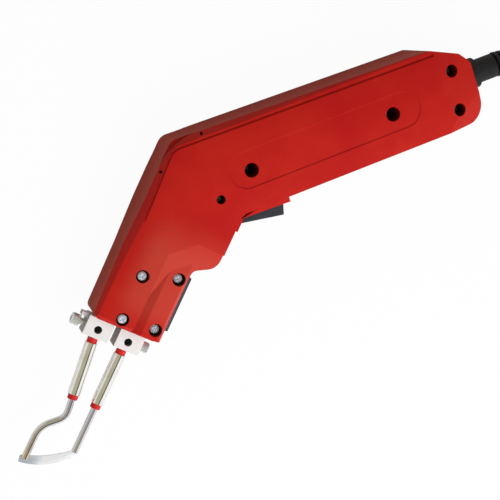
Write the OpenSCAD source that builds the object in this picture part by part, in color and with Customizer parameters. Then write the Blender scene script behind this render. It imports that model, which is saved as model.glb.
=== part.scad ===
// Electric hot knife: a hand tool with a transformer in its nose that heats a small curved blade.
// It lies on its right side. X runs along the handle to the cord, Y to the spine, Z out of the left side.
// Points are measured from the elbow, where the spines of the handle and the nose meet.
// A nose point is [forward from the elbow, down from the spine].

/* [Body] */
// Length of the handle, from the elbow to the rear face
handle_len = 179; // [176:1:190]
// Depth of the handle, from the spine to the finger side
handle_depth = 51; // [50:0.5:54]
// Length of the nose, from the elbow to its mouth
nose_len = 105.5; // [105:0.5:112]
// Width of the nose, from the spine to its underside
nose_width = 40.5; // [40:0.5:43]
// Depth of the elbow below the spine of the nose
elbow_depth = 52.5; // [51:0.5:54]
// Angle between the handle and the nose
bend = 45; // [43:0.5:47]
// Thickness of the body over the handle and the elbow
body_thick = 40; // [40:0.5:44]
// Thickness of the front of the nose
nose_thick = 32; // [31:0.5:34]
// Wall of the two shells
wall = 2.6; // [2.2:0.1:3]

/* [Body details] */
// Bevel along the spine at the front of the nose
nose_bevel = 2.2; // [1.6:0.1:2.4]
// Distance of the spine groove from the spine
groove_in = 3.1; // [2.6:0.1:4]
// Width of the spine groove
groove_w = 1.5; // [1:0.1:2]
// Depth of the spine groove
groove_deep = 0.9; // [0.5:0.1:1.3]
// Width of the ledge round the elbow's corner
ledge_w = 2.6; // [2:0.1:3]
// Height of the rim round the trigger
rim_h = 4.1; // [3.5:0.1:4.6]
// Length of the handle's side panel between its round ends
panel_len = 97; // [90:1:100]
// Radius of the round ends of the side panel
panel_r = 10.4; // [9:0.1:12]

/* [Trigger and switch] */
// Width of the trigger
trigger_w = 16; // [13:0.5:17]
// Radius of the trigger's pin
pin_r = 1.5; // [1.2:0.1:1.8]
// Clearance round the pin, on the radius
pin_gap = 0.05; // [0.02:0.01:0.08]
// Length of the switch
switch_len = 24; // [21:0.5:26]
// Height of the switch
switch_h = 10; // [8:0.5:11]
// Thickness of the switch
switch_w = 15; // [12:0.5:20]

/* [Transformer] */
// Length of the core along the nose
core_len = 40; // [38:0.5:41]
// Width of the core across the nose
core_w = 34; // [33:0.5:34.4]
// Thickness of the stack of laminations
core_stack = 19; // [17:0.5:19.4]
// Width of the core's outer limbs
limb = 6.5; // [6:0.1:6.8]
// Thickness of the copper bars
bar_t = 1.5; // [1.2:0.1:1.8]

/* [Electrodes and blade] */
// Length of each electrode block
block_len = 11.5; // [11:0.1:13]
// Width of each electrode block
block_w = 15.4; // [14:0.1:16]
// Thickness of each electrode block
block_t = 13.5; // [12:0.1:15]
// Gap between the two blocks
block_gap = 4; // [3:0.1:5]
// Radius of the two rods
rod_r = 2; // [1.7:0.05:2.1]
// Outer radius of the red insulating sleeves
sleeve_r = 3; // [2.8:0.05:3.1]
// Outer radius of the steel tubes
tube_r = 3.6; // [3.5:0.05:4]
// Length of the steel tubes
tube_len = 31.2; // [28:0.1:33]
// How far a sleeve shows at each end of its tube
sleeve_show = 3; // [2:0.1:3.4]
// Thickness of the blade
blade_t = 1.2; // [0.8:0.1:1.6]
// Width of the blade's ground bevel
blade_bevel = 2; // [1:0.1:2.6]
// Radius of the clamp bolts
bolt_r = 2; // [1.6:0.05:2.2]
// Radius of the clamp bolts' heads
bolt_head_r = 3.35; // [3:0.05:3.6]

/* [Cord] */
// Diameter of the mains cord
cord_d = 7; // [6.5:0.1:7]
// Length of the strain relief outside the handle
relief_len = 45; // [40:1:50]
// Turns of cord in the coil
coil_turns = 6.5; // [6.5]

/* [Hidden] */
$fn = 48;
eps = 0.01;
tall = 100;

// Clearance between a shaft and its hole, on the radius
fit = 0.05;
// Gap between pieces that lie beside each other
gap = 0.3;
mid = body_thick / 2;
half = body_thick / 2;
nose_half = nose_thick / 2;

// Directions and points of the nose
function nose_dir(u, s) = [-u * cos(bend) + s * sin(bend), -u * sin(bend) - s * cos(bend)];
function lift(p, z) = [p.x, p.y, z];
module in_nose() rotate([0, 0, 180 + bend]) children();

// Round a closed outline of [x, y, radius] points, each corner as an arc
arc_turn = 9;
function unit(v) = v / norm(v);
function turn_of(a, b) = a.x * b.y - a.y * b.x;
function flat(p) = [p.x, p.y];
function near_turn(a) = a > 180 ? a - 360 : a < -180 ? a + 360 : a;
function corner_arc(a, p, b, r, n = 0) =
    let (d1 = unit(a - p), d2 = unit(b - p), opening = acos(d1 * d2) / 2)
    let (c = p + unit(d1 + d2) * r / sin(opening), t = r / tan(opening))
    let (s = p + d1 * t - c, e = p + d2 * t - c)
    let (a1 = atan2(s.y, s.x), sweep = near_turn(atan2(e.y, e.x) - a1))
    let (k = n > 0 ? n : max(2, ceil(abs(sweep) / arc_turn)))
    [for (i = [0:k]) c + r * [cos(a1 + sweep * i / k), sin(a1 + sweep * i / k)]];
function rounded(pts) = let (n = len(pts)) [for (i = [0:n - 1])
    each corner_arc(flat(pts[(i + n - 1) % n]), flat(pts[i]), flat(pts[(i + 1) % n]), pts[i][2])];
// The same corners, moved in by d; an outline here runs clockwise, so inwards is to the right
function inset(pts, d) = let (n = len(pts)) [for (i = [0:n - 1])
    let (p = flat(pts[i]), e1 = unit(p - flat(pts[(i + n - 1) % n])), e2 = unit(flat(pts[(i + 1) % n]) - p))
    let (n1 = [e1.y, -e1.x], n2 = [e2.y, -e2.x], q = p + d * (n1 + n2) / (1 + n1 * n2))
    [q.x, q.y, turn_of(e1, e2) < 0 ? max(0.4, pts[i][2] - d) : pts[i][2] + d]];

// Outline of the body, clockwise from the elbow
spine_drop = 1.8;
chamfer_len = 24;
chamfer_drop = 8;
rear_round = 11;
nose_round = 4;
bulge_end = 53.5;
bulge_step = 6.5;
under_elbow = (handle_depth - elbow_depth * cos(bend)) / sin(bend);
elbow_corner = nose_dir(under_elbow, elbow_depth);
function nose_corner(u, s, r) = let (p = nose_dir(u, s)) [p.x, p.y, r];
spine_peak = [-0.7, 1.6, 8];
spine_crown = [58, -1.2, 30];
body_outline = [
    spine_peak,
    [handle_len - chamfer_len, -spine_drop, 5],
    [handle_len - 6, -spine_drop - chamfer_drop, 5],
    [handle_len, -spine_drop - chamfer_drop - 7, 5],
    [handle_len, -handle_depth, rear_round],
    nose_corner(under_elbow, elbow_depth, 7),
    nose_corner(bulge_end, elbow_depth, 8),
    nose_corner(bulge_end + bulge_step, nose_width, 4),
    nose_corner(nose_len, nose_width, nose_round),
    nose_corner(nose_len, 0, nose_round),
    nose_corner(spine_crown[0], spine_crown[1], spine_crown[2])];
nose_start = 45;

// Body outside and inside, from the joint between the shells at height 0 outwards
tongue_tip = [82, 23.7];
tongue_spine = 63;
tongue_under = [70, 37.6];
tongue_slope = 11.5;
pad_edge = 28.5;
pad_foot = 24.2;
pad_rise = 2;
rear_facet = 22;
rear_facet_slope = 11;
corner_facet_slope = 9;

// What is cut off above the nose, in nose points: the plane of its side, and a slope up from the line p to q
module nose_cut(p, q, slope, sink = 0) intersection() {
    d = q - p;
    in_nose() translate([p.x, p.y, nose_half - sink]) rotate([0, 0, atan2(d.y, d.x)])
        rotate([slope, 0, 0]) translate([-tall, -tall, 0]) cube([2 * tall, 2 * tall, tall]);
    in_nose() translate([nose_start, -tall / 2, nose_half - sink]) cube([tall, 2 * tall, tall]);
}
module nose_cuts(sink = 0) {
    nose_cut([tongue_spine, 0], tongue_tip, tongue_slope, sink);
    nose_cut(tongue_tip, tongue_under, tongue_slope, sink);
}

// How steeply the nose's slope rises along the spine
spine_rise = atan(tan(tongue_slope) * sin(atan2(tongue_tip.y, tongue_tip.x - tongue_spine)));
module body_outside() {
    difference() {
        linear_extrude(half) polygon(rounded(body_outline));
        nose_cuts();
        rear_cuts();
        spine_cuts();
        elbow_ledge();
        in_nose() translate([tongue_spine, 0, nose_half - nose_bevel]) rotate([0, spine_rise, 0])
            rotate([45, 0, 0]) translate([-tall, -tall, 0]) cube([tall, 2 * tall, tall]);
        in_nose() translate([tongue_spine, 0, nose_half - nose_bevel]) rotate([45, 0, 0])
            translate([0, -tall, 0]) cube([tall, 2 * tall, tall]);
        in_nose() translate([nose_len, -1, nose_half - nose_bevel]) rotate([0, -45, 0])
            cube([tall, tall, tall]);
    }
    nose_pad();
    trigger_rim();
}

// Bevel along the spine of the handle and of the nose's thick end
spine_bevel = 1.9;
module spine_cuts(sink = 0) {
    translate([0, 0, half - spine_bevel - sink]) rotate([-45, 0, 0])
        translate([-tall, -tall, 0]) cube([4 * tall, 2 * tall, tall]);
    in_nose() translate([0, 0, half - spine_bevel - sink]) rotate([45, 0, 0])
        translate([-tall, -tall, 0]) cube([4 * tall, 2 * tall, tall]);
}

// The two facets that thin the rear end
module rear_cuts() {
    facet_x = handle_len - rear_facet;
    translate([facet_x, -handle_depth, half]) rotate([0, rear_facet_slope, 0])
        translate([0, -tall, 0]) cube([tall, 3 * tall, tall]);
    translate([facet_x + 1, 6 - handle_depth, half]) rotate([0, 0, -35])
        rotate([0, rear_facet_slope + corner_facet_slope, 0])
        translate([0, -tall, 0]) cube([tall, 2 * tall, tall]);
}

// Raised strip under the front of the nose, with its sloping flank
module nose_pad() {
    strip_from = tongue_tip.x - 26;
    in_nose() translate([strip_from, 0, 0]) rotate([90, 0, 90])
        linear_extrude(nose_len - strip_from - nose_round / 4) polygon([
            [pad_foot, nose_half - 2 * pad_rise], [pad_foot, nose_half],
            [pad_edge, nose_half + pad_rise], [nose_width - pad_rise, nose_half + pad_rise],
            [nose_width, nose_half], [nose_width, nose_half - 2 * pad_rise]]);
}

// Ledge round the elbow's corner: an arc between two points of the spine's edges, cut down to ledge_half
ledge_half = 15.5;
ledge_ends = [[16, 1.2], nose_dir(17, -1.4)];
ledge_run = ledge_ends[0] - ledge_ends[1];
ledge_mid = (ledge_ends[0] + ledge_ends[1]) / 2;
ledge_out = unit([-ledge_run.y, ledge_run.x]);
corner_out = (flat(spine_peak) - ledge_mid) * ledge_out - spine_peak[2] * (1 / cos(bend / 2) - 1);
ledge_sag = corner_out - ledge_w;
ledge_r = (pow(norm(ledge_run) / 2, 2) + pow(ledge_sag, 2)) / (2 * ledge_sag);
ledge_c = ledge_mid + ledge_out * (ledge_sag - ledge_r);
module elbow_ledge(sink = 0) difference() {
    translate(lift(ledge_mid, ledge_half - sink)) rotate([0, 0, atan2(ledge_run.y, ledge_run.x)])
        translate([-norm(ledge_run), 0, 0]) cube([2 * norm(ledge_run), tall, tall]);
    translate(lift(ledge_c, 0)) cylinder(r = ledge_r - sink, h = 2 * tall, $fn = 180);
}

// Rim that guards the trigger's opening, along the handle and round the elbow
trigger_front = under_elbow + 5.4;
trigger_reach = 26.4;
trigger_rear = elbow_corner.x + trigger_reach;
rim_end = trigger_rear + 3;
rim_front = trigger_front + 5;
rim_half = half - 6;
rim_step = 2.9;
module trigger_rim() linear_extrude(rim_half) polygon([
    [rim_end, -handle_depth + 3], [rim_end, -handle_depth - rim_h],
    nose_dir(under_elbow + (rim_h - rim_step) / sin(bend), elbow_depth + rim_step),
    nose_dir(rim_front, elbow_depth + rim_step), nose_dir(rim_front, elbow_depth - 3)]);

module body_inside() {
    difference() {
        translate([0, 0, -eps]) linear_extrude(half - wall + eps)
            polygon(rounded(inset(body_outline, wall)));
        nose_cuts(wall);
        elbow_ledge(wall);
        translate([0, 0, -wall]) rear_cuts();
    }
}

// Place of the transformer's core in the nose, and of the trigger at the elbow
core_at = 23;
core_top = (nose_width - core_w) / 2;
core_half = core_stack / 2;
trigger_at = elbow_corner + [-5.25, 3];
trigger_top = -handle_depth - 0.2;

// Screws: place, then how they sit
handle_middle = -handle_depth / 2;
handle_screw_at = [[36, handle_middle - 3.7], [handle_len - 55, handle_middle - 3]];
rear_screw_at = [[handle_len - 13.5, -17.5], [handle_len - 15.5, -handle_depth + 10.7]];
elbow_screw_at = nose_dir(min(under_elbow - 2.4, core_at - 5.8), core_top + core_w);
nose_screw_at = [nose_dir(74, 16), nose_dir(67.4, 35.2),
    nose_dir(nose_len - 5.1, 16), nose_dir(nose_len - 6.9, 35.2)];
boss_r = 5;
nose_boss_r = 4.2;
small_boss_r = 3.8;
well_r = 3.7;
wide_well_r = 4.1;
small_well_r = 2.5;
screw_r = 1.5;
head_r = 2.6;
head_h = 2;
nose_seat = nose_half - 3;
deep_seat = half - 16;
rear_seat = half - 11;
elbow_seat = half - 7;
thread_len = 10;

// A pan head screw that enters from the left side, its head's underside at height z above the joint
module pan_screw(at, z, r = head_r) translate(lift(at, mid + z)) {
    difference() {
        union() {
            cylinder(r = r, h = head_h * 0.6);
            translate([0, 0, head_h * 0.6]) cylinder(r1 = r, r2 = r * 0.62, h = head_h * 0.4);
        }
        for (a = [0, 90]) rotate([0, 0, a]) translate([-r * 0.55, -0.3, head_h * 0.45])
            cube([r * 1.1, 0.6, head_h]);
    }
    translate([0, 0, -z - thread_len]) cylinder(r = screw_r, h = z + thread_len + eps);
}
module nose_screws() color("silver") for (p = nose_screw_at) pan_screw(p, nose_seat);
module handle_screws() color("dimgray") for (p = handle_screw_at) pan_screw(p, deep_seat);
module rear_screws() color("dimgray") for (p = rear_screw_at) pan_screw(p, rear_seat);
module elbow_screw() color("dimgray") pan_screw(elbow_screw_at, elbow_seat, small_well_r - 0.4);

module bosses(h) {
    for (p = concat(handle_screw_at, rear_screw_at)) translate(lift(p, 0)) cylinder(r = boss_r, h = h);
    for (p = nose_screw_at) translate(lift(p, 0)) cylinder(r = nose_boss_r, h = nose_half - 1);
    translate(lift(elbow_screw_at, 0)) cylinder(r = small_boss_r, h = h);
}
module screw_wells() {
    for (p = nose_screw_at) well(p, nose_seat, well_r);
    for (p = handle_screw_at) well(p, deep_seat, wide_well_r);
    for (p = rear_screw_at) well(p, rear_seat, well_r);
    well(elbow_screw_at, elbow_seat, small_well_r);
}
module well(p, seat, r) translate(lift(p, 0)) {
    translate([0, 0, seat]) cylinder(r = r, h = tall);
    translate([0, 0, -eps]) cylinder(r = screw_r + fit, h = tall);
}
module screw_pilots() {
    for (p = concat(nose_screw_at, handle_screw_at, rear_screw_at, [elbow_screw_at]))
        translate(lift(p, -eps)) cylinder(r = screw_r + fit / 2, h = thread_len + gap);
}

// Groove beside the spine and the shallow side panel
groove_from = handle_len - 22;
groove_to = 55;
groove_round = 9;
// One side of the groove, at depth g from the spine, with corner radius r at the elbow
function groove_side(g, r) =
    let (a = [groove_from, -spine_drop * groove_from / (handle_len - chamfer_len) - g])
    let (b = [-g * tan(bend / 2), -g], c = nose_dir(groove_to, g))
    [a, each corner_arc(a, b, c, r, 6), c];
module groove() {
    upper = groove_side(groove_in - groove_w / 2, groove_round + groove_w / 2);
    lower = groove_side(groove_in + groove_w / 2, groove_round - groove_w / 2);
    turned_back = [for (i = [len(lower) - 1:-1:0]) lower[i]];
    translate([0, 0, half - groove_deep]) linear_extrude(tall) polygon(concat(upper, turned_back));
}
panel_at = [82, handle_middle - 2.7];
panel_deep = 0.3;
module side_panel() translate(lift(panel_at, half - panel_deep)) {
    translate([-panel_len / 2, -panel_r, 0]) cube([panel_len, 2 * panel_r, tall]);
    for (e = [-1, 1]) translate([e * panel_len / 2, 0, 0]) cylinder(r = panel_r, h = tall);
}
// Small dimples at the ends of the elbow's ledge
dimple_r = 0.9;
dimple_in = 1.5;
module ledge_dimples() translate(lift(ledge_mid - ledge_out * dimple_in, ledge_half - 1))
    for (e = [-1, 1]) translate(lift(unit(ledge_run) * e * (norm(ledge_run) / 2 - 0.4), 0))
        cylinder(r = dimple_r, h = tall);

// Mouth of the nose, hole of the strain relief and opening of the trigger
mouth_h = 10;
mouth_from = 2.6;
mouth_to = 37;
relief_y = handle_middle - 0.7;
relief_neck_r = 6;
trigger_gap = 0.8;
opening_top = -handle_depth + wall + 2;
opening_reach = 20;
module openings() {
    in_nose() translate([nose_len - wall - 0.6, mouth_from, -eps])
        cube([tall, nose_width - wall - mouth_from, mouth_h]);
    translate([handle_len - 2 * wall, relief_y, 0]) rotate([0, 90, 0])
        cylinder(r = relief_neck_r + fit, h = tall);
    translate([0, 0, -eps]) linear_extrude(trigger_w / 2 + trigger_gap + eps) polygon([
        nose_dir(trigger_front + trigger_gap, elbow_depth + opening_reach),
        nose_dir(trigger_front + trigger_gap, elbow_depth - wall - 2),
        [trigger_at.x, opening_top], [trigger_rear + 1.4, opening_top],
        [trigger_rear + 1.4, -handle_depth - opening_reach]]);
}

// Seats in the shells for the pieces inside
pad_slot_at = 68;
pad_slot_len = 24;
module shell_half() {
    difference() {
        union() {
            difference() {
                body_outside();
                body_inside();
            }
            intersection() {
                union() {
                    bosses(half - wall / 2);
                    children(0);
                }
                body_limit();
            }
        }
        groove();
        side_panel();
        ledge_dimples();
        openings();
        pad_slots();
        children(1);
    }
}
// What is added inside stays under the outer surface
module body_limit() {
    difference() {
        linear_extrude(half - 0.6) polygon(rounded(inset(body_outline, 0.8)));
        translate([0, 0, -0.8]) rear_cuts();
        spine_cuts(0.8);
        elbow_ledge(0.8);
        nose_cuts(0.6);
    }
}
module pad_slots() for (u = [pad_slot_at, pad_slot_at + pad_slot_len])
    in_nose() translate([u - tab_len / 2 - fit, nose_width - wall - 0.8, -eps])
        cube([tab_len + 2 * fit, wall + 8, tab_half + fit]);

// Ribs that carry the core, the switch, the spring and the fuse; z is from the joint outwards
module core_ribs() in_nose() {
    for (p = [[core_at + 1.5, core_top + core_w - 8], [core_at + core_len - 4.5, core_top + 1]])
        translate(lift(p, core_half + gap / 2)) cube([3, 7, half - core_half]);
}
module rib(x, y, w, d, from) translate([x, y, from]) cube([w, d, half - from]);
module switch_ribs() {
    for (x = [switch_x + 2, switch_x + switch_len - 4])
        rib(x, switch_y + 2, 2, switch_h - 2, switch_w / 2 + gap / 2);
    rib(switch_x - 2.3, switch_y + 3, 2, switch_h - 4, 1);
    rib(switch_x + switch_len + gap, switch_y, 2, switch_h, 1);
    rib(switch_x + 5, switch_y + switch_h + gap, 3, 2, 3);
}
spring_at = elbow_corner.x + 6.8;
spring_seat_y = trigger_top + 10.2;
module spring_shelf() rib(spring_at - 5, spring_seat_y, 10, 2, 0);
module fuse_rib() in_nose()
    translate([fuse_at.x + 3.5, fuse_at.y - 1, fuse_r + gap / 2]) cube([3, 6, half]);
module pin_posts() translate(lift(trigger_at, trigger_w / 2 + gap)) cylinder(r = 3.4, h = half);

module left_shell() color([0.72, 0.11, 0.10]) translate([0, 0, mid]) shell_half() {
    union() {
        core_ribs();
        switch_ribs();
        pin_posts();
        fuse_rib();
    }
    union() {
        screw_wells();
        pin_hole();
    }
}
module right_shell() color([0.68, 0.10, 0.09]) translate([0, 0, mid]) mirror([0, 0, 1]) shell_half() {
    union() {
        core_ribs();
        core_posts();
        switch_ribs();
        spring_shelf();
        pin_posts();
        fuse_rib();
        clamp_posts();
    }
    union() {
        screw_pilots();
        pin_hole();
        core_pilots();
        clamp_pilots();
    }
}
module pin_hole() translate(lift(trigger_at, 0)) cylinder(r = pin_r + fit, h = half - wall);
core_screw_at = [nose_dir(core_at + 3.2, core_top + 3.2),
    nose_dir(core_at + core_len - 3.2, core_top + core_w - 3.2)];
core_screw_r = 1.4;
core_screw_deep = 5;
module core_posts() for (p = core_screw_at)
    translate(lift(p, core_half + gap / 2)) cylinder(r = 3.2, h = half);
module core_pilots() for (p = core_screw_at)
    translate(lift(p, core_half)) cylinder(r = core_screw_r + fit, h = core_screw_deep + gap);

// Plate clipped to the underside of the nose, on which the tool can lean
tab_len = 5;
tab_half = 4;
pad_t = 2.4;
pad_from = 64.5;
pad_len = 33;
pad_half = 13;
module nose_rest_pad() color([0.22, 0.25, 0.29]) in_nose() {
    difference() {
        translate([pad_from, nose_width + eps, mid - pad_half]) cube([pad_len, pad_t, 2 * pad_half]);
        for (e = [-1, 1]) translate([pad_from - 1, nose_width + pad_t, mid + e * pad_half])
            rotate([45, 0, 0]) translate([0, -0.8, -0.8]) cube([pad_len + 2, 1.6, 1.6]);
    }
    for (u = [pad_slot_at, pad_slot_at + pad_slot_len])
        translate([u - tab_len / 2, nose_width - wall - 0.6, mid - tab_half])
            cube([tab_len, wall + 0.7, 2 * tab_half]);
}

// Trigger: a wedge on a pin, pressed up into the handle
trigger_tip = nose_dir(trigger_front, elbow_depth + 4.3);
trigger_heel = [trigger_rear - 1.7, trigger_top - 11.1];
barrel_r = 2.9;
spring_r = 2.6;
spring_hole_deep = 3;
module trigger() color([0.24, 0.26, 0.30]) difference() {
    translate([0, 0, mid - trigger_w / 2]) union() {
        linear_extrude(trigger_w) polygon([
            trigger_tip, trigger_heel, [trigger_rear, trigger_top - 5.1], [trigger_rear, trigger_top],
            [trigger_at.x + 6, trigger_top], [trigger_at.x + 1, trigger_top + 2.6],
            trigger_at + [-2.6, -1], trigger_at + [-1.2, -4.6]]);
        translate(lift(trigger_at, 0)) cylinder(r = barrel_r, h = trigger_w);
    }
    translate(lift(trigger_at, 0)) cylinder(r = pin_r + pin_gap, h = tall);
    translate([spring_at, trigger_top - spring_hole_deep, mid]) rotate([-90, 0, 0])
        cylinder(r = spring_r + 0.6, h = 10);
}
module trigger_pin() color("silver") translate(lift(trigger_at, mid - trigger_w / 2 - 5))
    cylinder(r = pin_r, h = trigger_w + 10);

// Helical spring from the trigger's hole to its shelf
spring_wire = 0.45;
spring_curls = 6;
spring_low = trigger_top - spring_hole_deep + spring_wire;
spring_path = [for (i = [0:spring_curls * 12]) let (a = i * 30)
    [spring_at + (spring_r - spring_wire) * cos(a),
     spring_low + (spring_seat_y - spring_wire - spring_low) * i / (spring_curls * 12),
     mid + (spring_r - spring_wire) * sin(a)]];
module trigger_spring() color("silver") tube(spring_path, spring_wire, 6);

// Switch: a closed body, a plunger under it and two blade terminals on top
switch_set_back = 18.3;
switch_x = elbow_corner.x + switch_set_back;
switch_y = trigger_top + 5.9;
plunger_x = switch_x + 4.5;
plunger_r = 1.5;
plunger_hole = 6.5;
module switch_body() color([0.12, 0.12, 0.13]) difference() {
    translate([switch_x, switch_y, mid - switch_w / 2]) cube([switch_len, switch_h, switch_w]);
    translate([plunger_x, switch_y - 1, mid]) rotate([-90, 0, 0])
        cylinder(r = plunger_r + fit, h = plunger_hole + 1);
}
module switch_plunger() color([0.85, 0.83, 0.78])
    translate([plunger_x, trigger_top + gap, mid]) rotate([-90, 0, 0])
        cylinder(r = plunger_r, h = switch_y - trigger_top - gap + 2);
terminal_set_back = [12, 20];
terminal_x = [switch_x + terminal_set_back[0], switch_x + terminal_set_back[1]];
module switch_terminals() color([0.80, 0.66, 0.30]) for (x = terminal_x)
    translate([x - 1.5, switch_y + switch_h, mid - 0.4]) cube([3, 4, 0.8]);

// Transformer: laminated core, bobbin, wire winding and one turn of copper bar
core_mid = core_at + core_len / 2;
limb_half = limb;
window_half = core_len / 2 - limb;
window_from = core_top + limb;
window_len = core_w - 2 * limb;
bobbin_wall = 0.8;
bobbin_in = 0.1;
bobbin_out = bobbin_in + bobbin_wall;
turn_limit = nose_half - wall + 1.2 - gap;
winding_t = turn_limit - core_half - bobbin_out - gap - bar_t;
module transformer_core() color([0.45, 0.46, 0.48]) difference() {
    in_nose() difference() {
        translate([core_at, core_top, mid - core_half]) cube([core_len, core_w, core_stack]);
        for (e = [-1, 1]) translate([core_mid + (e < 0 ? -window_half : limb_half), window_from, 0])
            cube([window_half - limb_half, window_len, tall]);
    }
    for (p = core_screw_at) translate(lift(p, 0)) cylinder(r = core_screw_r + 0.2, h = tall);
}
module core_screws() color("silver") for (p = core_screw_at) translate(lift(p, mid + core_half)) {
    cylinder(r = 2.6, h = 1.8);
    translate([0, 0, -core_stack - core_screw_deep])
        cylinder(r = core_screw_r, h = core_stack + core_screw_deep + eps);
}
// A rectangular ring round the middle limb, between two half widths
module limb_ring(from, len, inner, outer) in_nose() difference() {
    translate([core_mid - limb_half - outer, from, mid - core_half - outer])
        cube([2 * (limb_half + outer), len, core_stack + 2 * outer]);
    translate([core_mid - limb_half - inner, from - 1, mid - core_half - inner])
        cube([2 * (limb_half + inner), len + 2, core_stack + 2 * inner]);
}
flange_out = bobbin_out + winding_t + 0.8;
module bobbin() color([0.86, 0.82, 0.70]) {
    limb_ring(window_from + gap, window_len - 2 * gap, bobbin_in, bobbin_out);
    for (s = [window_from + gap, window_from + window_len - gap - 1])
        limb_ring(s, 1, bobbin_in, flange_out);
}
winding_from = window_from + gap + 1;
winding_len = window_len - 2 * (gap + 1);
module primary_winding() color([0.62, 0.30, 0.12])
    limb_ring(winding_from, winding_len, bobbin_out, bobbin_out + winding_t);
terminal_z = mid + core_half + 3;
pin_u = [core_mid - 6, core_mid + 5];
module bobbin_terminals() color([0.80, 0.66, 0.30]) in_nose() for (u = pin_u)
    translate([u, window_from + window_len - gap, terminal_z]) rotate([-90, 0, 0]) cylinder(r = 0.7, h = 5);

// The copper turn: up through one window and down through the other, then forward as two bars
turn_in = bobbin_out + winding_t + gap;
turn_out = turn_in + bar_t;
turn_z = mid + core_half + turn_out;
turn_low = mid - core_half - turn_out;
bar_w = 6;
bar_one = window_from + 3.5;
bar_two = window_from + window_len - 3.5 - bar_w;
drop_u = core_at + core_len + 1;
module secondary_turn() color([0.78, 0.45, 0.25]) in_nose() {
    front = core_mid + limb_half + turn_in;
    rear = core_mid - limb_half - turn_out;
    translate([front, bar_two, turn_low]) cube([bar_t, bar_w, turn_z - turn_low]);
    translate([rear, bar_one, turn_low]) cube([bar_t, bar_w, turn_z - turn_low]);
    translate([rear, bar_one, turn_low]) cube([front + bar_t - rear, bar_two + bar_w - bar_one, bar_t]);
    translate([rear, bar_one, turn_z - bar_t]) cube([drop_u + bar_t - rear, bar_w, bar_t]);
    translate([front, bar_two, turn_z - bar_t]) cube([drop_u + bar_t - front, bar_w, bar_t]);
    for (s = [bar_one, bar_two]) translate([drop_u, s, mid + bar_t / 2])
        cube([bar_t, bar_w, turn_z - mid - bar_t / 2]);
}
block_from = nose_len + 0.5;
bus_end = block_from + 2.5;
module bus_bar(s_turn, s_from, s_to) color([0.78, 0.45, 0.25]) in_nose()
    translate([0, 0, mid - bar_t / 2]) linear_extrude(bar_t) polygon([
        [drop_u, min(s_turn, s_from)], [bus_end, s_from], [bus_end, s_to], [drop_u + 4, s_to],
        [drop_u + 4, max(s_turn + bar_w, s_to)], [drop_u, max(s_turn + bar_w, s_to)]]);
upper_bus_s = [4.6, 10];
lower_bus_s = [22, 29.4];
module upper_bus_bar() bus_bar(bar_one, upper_bus_s[0], upper_bus_s[1]);
module lower_bus_bar() bus_bar(bar_two, lower_bus_s[0], lower_bus_s[1]);

// Insulating plate in the mouth of the nose
plate_t = 2.4;
plate_from = nose_len - wall - 0.3;
module mouth_insulator() color([0.55, 0.33, 0.18]) in_nose() difference() {
    translate([plate_from, mouth_from + gap, mid - mouth_h + gap])
        cube([plate_t, nose_width - wall - mouth_from - 2 * gap, 2 * (mouth_h - gap)]);
    for (b = [upper_bus_s, lower_bus_s]) translate([plate_from - 1, b[0] - 0.1, mid - bar_t / 2 - 0.1])
        cube([plate_t + 2, b[1] - b[0] + 0.2, bar_t + 0.2]);
}

// Electrode blocks, clamp bolts, rods, tubes, sleeves and blade
block_top = 0.2;
bolt_u = block_from + block_len * 0.55;
upper_rod_s = block_top + block_w / 2;
lower_rod_s = block_top + block_w + block_gap + 7;
rod_tilt = 6;
hole_r = 2.2;
hole_floor = rod_r + fit + 0.5;
bolt_bore = 20;
// Small lug on the upper block, beside its bolt
lug_t = 2.4;
lug_h = 4;
lug_w = 6;
rod_from = bus_end + 0.7;
bolt_gap = 0.1;
module along_upper() in_nose() translate([bolt_u, upper_rod_s, mid])
    rotate([0, 0, rod_tilt]) rotate([0, 90, 0]) children();
module along_lower() in_nose() translate([bolt_u, lower_rod_s, mid]) rotate([0, 90, 0]) children();
module block(s, bus, bolt_s) in_nose() difference() {
    translate([block_from, s, mid - block_t / 2]) cube([block_len, block_w, block_t]);
    translate([block_from - 1, bus[0] - fit, mid - bar_t / 2 - fit])
        cube([bus_end - block_from + 1 + fit, bus[1] - bus[0] + 2 * fit, bar_t + 2 * fit]);
    translate([bolt_u, bolt_s, mid]) rotate([-90, 0, 0]) cylinder(r = bolt_r + fit, h = bolt_bore);
}
module upper_electrode_block() color([0.86, 0.86, 0.84]) difference() {
    union() {
        block(block_top, upper_bus_s, upper_rod_s + 1 - bolt_bore);
        in_nose() translate([block_from + 0.1, block_top - lug_h, mid - lug_w / 2])
            cube([lug_t, lug_h + eps, lug_w]);
    }
    along_upper() translate([0, 0, rod_from - bolt_u - 0.3]) cylinder(r = rod_r + fit, h = tall);
    in_nose() translate([bolt_u, upper_rod_s, mid + hole_floor]) cylinder(r = hole_r, h = tall);
}
module lower_electrode_block() color([0.86, 0.86, 0.84]) difference() {
    block(block_top + block_w + block_gap, lower_bus_s, lower_rod_s - 1);
    along_lower() translate([0, 0, rod_from - bolt_u - 0.3]) cylinder(r = rod_r + fit, h = tall);
    in_nose() translate([bolt_u, lower_rod_s, mid + hole_floor]) cylinder(r = hole_r, h = tall);
}
bolt_head = 5;
bolt_stand = 3;
module clamp_bolt(len) difference() {
    top = len + bolt_head;
    rotate_extrude() polygon([[0, 0], [bolt_r, 0], [bolt_r, len], [bolt_head_r, len],
        [bolt_head_r, top - 0.6], [bolt_head_r - 0.6, top], [0, top]]);
    translate([0, 0, top - 2.6]) cylinder(r = 1.7, h = 5, $fn = 6);
}
upper_bolt_end = upper_rod_s - rod_r / cos(rod_tilt) - bolt_r * tan(rod_tilt) - bolt_gap;
lower_bolt_end = lower_rod_s + rod_r + bolt_gap;
module upper_clamp_bolt() color("silver") in_nose()
    translate([bolt_u, upper_bolt_end, mid]) rotate([90, 0, 0])
        clamp_bolt(upper_bolt_end - block_top + bolt_stand);
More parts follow.
